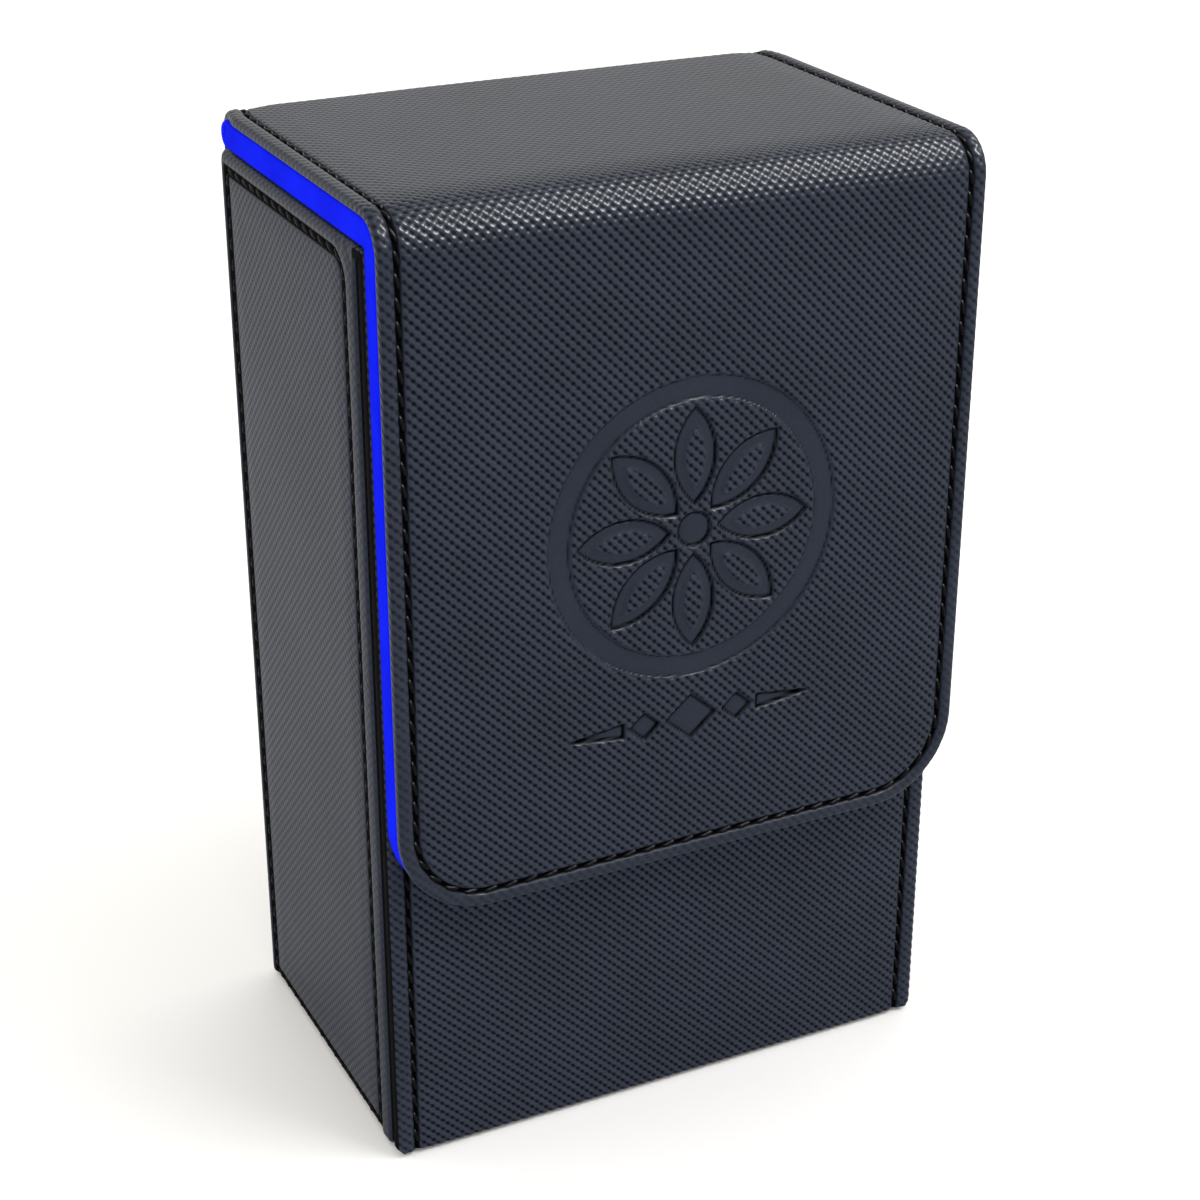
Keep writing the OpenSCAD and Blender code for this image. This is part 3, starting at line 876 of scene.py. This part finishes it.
def make_side(side, sign):
    """One side's leather and its stitching. sign is -1 on the left and 1 on the right."""
    def place(u, v, h):
        u, v, h = np.broadcast_arrays(u, v, h)
        z, back = wall(v, h, SIDE_REACH)
        return np.stack([sign * (SIDE_X - back), u, z], -1)

    piece = panel(side + "_leather", (SIDE_LO, 0), (SIDE_HI, SIDE_V), side_edge, place,
                  side_top, side_depth, EDGE_R, LEATHER, marks=side_marks, painted_shade_below=0.4, sunk=0.42)
    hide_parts(side + "_cover")
    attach(piece, "body")
    bow = np.linspace(0, math.pi / 2, 8)
    corner = np.stack([LINE_FRONT + LINE_R * (1 - np.cos(bow)),
                       LINE_HIGH - LINE_R * (1 - np.sin(bow))], 1)
    runs = [
        [(LINE_FRONT, LINE_LOW), (LINE_FRONT, LINE_HIGH - LINE_R)],
        corner,
        [(LINE_FRONT + LINE_R, LINE_HIGH), (LINE_BACK, LINE_HIGH)],
        [(LINE_BACK, LINE_HIGH), (LINE_BACK, LINE_LOW)],
        [(LINE_BACK, LINE_LOW), (LINE_FRONT, LINE_LOW)],
    ]
    thread = stitches(side + "_thread", runs, place, -0.42, THREAD, thick=1.4)
    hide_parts(side + "_stitching")
    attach(thread, "body")


make_side("left", -1)
make_side("right", 1)

FRONT_REACH = BODY_Y - INSIDE_Y - RIM_R + 0.15
FRONT_V = V_OVER + FRONT_REACH + 0.6
STITCH_TOP = V_RIM - 3  # where the front's stitching ends


def across(sign, face_y):
    """Places a pattern on the front (sign -1) or the back of the box body."""
    def place(u, v, h):
        u, v, h = np.broadcast_arrays(u, v, h)
        z, back = wall(v, h, FRONT_REACH)
        return np.stack([u, sign * (face_y - back), z], -1)
    return place


def rim_corner(u, v):
    """How far the wrapped rim is lower at its two ends, under the sides' leather."""
    return 0.25 * ramp(np.abs(u), INSIDE_X - 0.6, INSIDE_X) * ramp(v, V_RIM, V_OVER)


def front_edge(u, v):
    return rounded(u, v, (-SIDE_X, 0), (SIDE_X, FRONT_V), 0.9, 0.9)


def front_marks(u, v):
    a = SIDE_X - np.abs(u)
    share = 0.75 + 0.25 * ramp(a, FRONT_INSET + 0.3, FRONT_INSET + 1.0)
    # The stitch lines' distance, which carries the grooves' painted shade.
    seam = np.where(v < STITCH_TOP, np.abs(a - FRONT_INSET), FAR)
    return same(u, FAR), seam, share * unflattened(a - FRONT_INSET)


def front_top(u, v):
    d = -front_edge(u, v)
    a = SIDE_X - np.abs(u)
    level = -0.1 + 0.1 * ramp(a, FRONT_INSET, FRONT_INSET + 4)
    level += 0.16 * swell(a, FRONT_INSET)
    level -= sunk_seam(a - FRONT_INSET) * ramp(STITCH_TOP - v, 0, 1) + rim_corner(u, v)
    level += 0.05 * drift(u, v, 3.4) * ramp(a, FRONT_INSET, FRONT_INSET + 8)
    return level + 0.11 * front_marks(u, v)[2] * lattice(u, v) * ramp(d, 0.3, 0.9)


front_place = across(-1, BODY_Y)
front_leather = panel("front_leather", (-SIDE_X, 0), (SIDE_X, FRONT_V), front_edge, front_place,
                      front_top, lambda u, v: same(u, WALL_T), EDGE_R, LEATHER,
                      marks=front_marks, painted_shade_below=0.4)
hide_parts("front_cover")
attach(front_leather, "body")
seam_x = SIDE_X - FRONT_INSET
front_runs = [[(k * seam_x, LINE_LOW), (k * seam_x, STITCH_TOP)] for k in (-1, 1)]
front_thread = stitches("front_thread", front_runs, front_place, -0.34, THREAD)
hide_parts("front_stitching")
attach(front_thread, "body")


def back_edge(u, v):
    return rounded(u, v, (-SIDE_X + 0.9, 0.3), (SIDE_X - 0.9, FRONT_V), 0.9, 0.9)


def back_top(u, v):
    return 0.05 * lattice(u, v) - 0.05 - rim_corner(u, v)


# Only the rim of this piece shows, above the flap's leather that is glued over it
rim_leather = panel("rim_leather", (-SIDE_X, 0), (SIDE_X, FRONT_V), back_edge,
                    across(1, BODY_Y - 0.1), back_top, lambda u, v: same(u, 0.8), 0.3, LEATHER,
                    cell=CELL * 2)
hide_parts("back_cover")
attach(rim_leather, "body")


def base_place(u, v, h):
    u, v, h = np.broadcast_arrays(u, v, h)
    return np.stack([u, v, 0.1 - h], -1)


def base_edge(u, v):
    return rounded(u, v, (base_lo[0], base_lo[1]), (base_hi[0], base_hi[1]), 1.0, 1.0)


base_leather = panel("base_leather", base_lo[:2], base_hi[:2], base_edge, base_place,
                     lambda u, v: 0.05 * lattice(u, v) - 0.02, lambda u, v: same(u, 0.7),
                     0.3, LEATHER)
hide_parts("bottom_cover")
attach(base_leather, "body")


# ---------------------------------------------------------------- the lining inside the box
LINING_TOP = front_lining_high[2]
LINING_LOW = floor_high[2]
TUCK = 0.35  # how far each lining runs on into its corners


def lining_piece(side, half_w, low, high, place, seed):
    """One piece of lining, glued on its board: a wall's, or the floor's."""
    def edge(u, v):
        return rounded(u, v, (-half_w - TUCK, low), (half_w + TUCK, high), 0.3, 0.3)

    def face(u, v):
        return 0.05 * drift(2 * u, 2 * v, seed) - 0.1 + 0.06 * ramp(-edge(u, v), 0, 4)

    piece = panel(side + "_liner", (-half_w - TUCK, low), (half_w + TUCK, high), edge, place,
                  face, lambda u, v: same(u, 0.5), 0.25, LINING, cell=0.9, flange=0.8)
    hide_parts(side + "_lining")
    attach(piece, "body")


def inside(axis, sign, at):
    """Places a pattern on an inner wall that stands across the axis."""
    def place(u, v, h):
        u, v, h = np.broadcast_arrays(u, v, h)
        plane = sign * (at - h)
        return np.stack([u, plane, v] if axis == "y" else [plane, u, v], -1)
    return place


def on_floor(u, v, h):
    u, v, h = np.broadcast_arrays(u, v, h)
    return np.stack([u, v, LINING_LOW + h], -1)


walls = (("front", "y", -1), ("back", "y", 1), ("left", "x", -1), ("right", "x", 1))
for seed, (side, axis, sign) in enumerate(walls, 1):
    half_w, at = (INSIDE_X, INSIDE_Y) if axis == "y" else (INSIDE_Y, INSIDE_X)
    lining_piece(side, half_w, LINING_LOW - 0.2, LINING_TOP,
                 inside(axis, sign, at), seed)
lining_piece("floor", INSIDE_X + 0.1, -INSIDE_Y - 0.1, INSIDE_Y + 0.1,
             on_floor, 5)

# ---------------------------------------------------------------- finishes on the CAD pieces
FINISHES = {"board": BOARD, "foam": FOAM, "magnet": NICKEL}
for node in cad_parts:
    finish = next((FINISHES[word] for word in FINISHES if word in node), None)
    ob = bpy.data.objects.get(node)
    if finish and ob is not None and ob.type == "MESH":
        ob.data.materials.clear()
        ob.data.materials.append(finish)

# ---------------------------------------------------------------- studio
bpy.ops.mesh.primitive_plane_add(size=6, location=(0, 0, -0.0003))
ground = bpy.context.object
ground.name = "studio_floor"
n = Nodes("studio_floor")
space = n.new("ShaderNodeTexCoord").outputs["Object"]
tone = n.ramp(n.noise(space, 3.0), [(0.3, (0.9, 0.9, 0.9)), (0.7, (0.92, 0.92, 0.92))])
ground.data.materials.append(n.finish(tone, Roughness=1.0, Specular_IOR_Level=0.0))

world = bpy.data.worlds.new("studio_sky")
world.use_nodes = True
back = world.node_tree.nodes["Background"]
back.inputs["Color"].default_value = (1.0, 0.975, 0.935, 1)
back.inputs["Strength"].default_value = 1.3
bpy.context.scene.world = world


def softbox(name, at, aim, size, power, colour=(1.0, 1.0, 1.0), diffuse=True):
    data = bpy.data.lights.new(name, "AREA")
    data.shape = "RECTANGLE"
    data.size, data.size_y = size
    data.energy = power
    data.color = colour
    lamp = bpy.data.objects.new(name, data)
    lamp.location = at
    lamp.visible_diffuse = diffuse
    lamp.rotation_euler = (Vector(aim) - Vector(at)).to_track_quat("-Z", "Y").to_euler()
    bpy.context.scene.collection.objects.link(lamp)


softbox("key_softbox", (0.45, -0.45, 0.95), (0, 0, 0.12), (0.5, 0.5), 4)
softbox("glint_softbox", (0.45, -0.45, 0.96), (0, 0, 0.12), (0.3, 0.3), 110, diffuse=False)
softbox("back_softbox", (0.5, 1.1, 0.9), (0, 0, 0.1), (1.3, 0.9), 3,
        (1.0, 0.95, 0.85), diffuse=False)

# A long lens, above and to the left of the front, aimed at the middle of the box
EYE = Vector((-0.13333, -0.27475, 0.20609))
AIM = Vector((0.00065, -0.00258, 0.06398))
ROLL = 0.00117  # radians, so nearly level
camera = bpy.data.objects.new("camera", bpy.data.cameras.new("camera"))
camera.data.sensor_width = 36
camera.data.lens = 74.124
camera.data.clip_start = 0.01
camera.location = EYE
camera.rotation_euler = (AIM - EYE).to_track_quat("-Z", "Y").to_euler()
camera.rotation_euler.rotate_axis("Z", ROLL)
bpy.context.scene.collection.objects.link(camera)
bpy.context.scene.camera = camera
bpy.context.scene.view_settings.view_transform = "Standard"
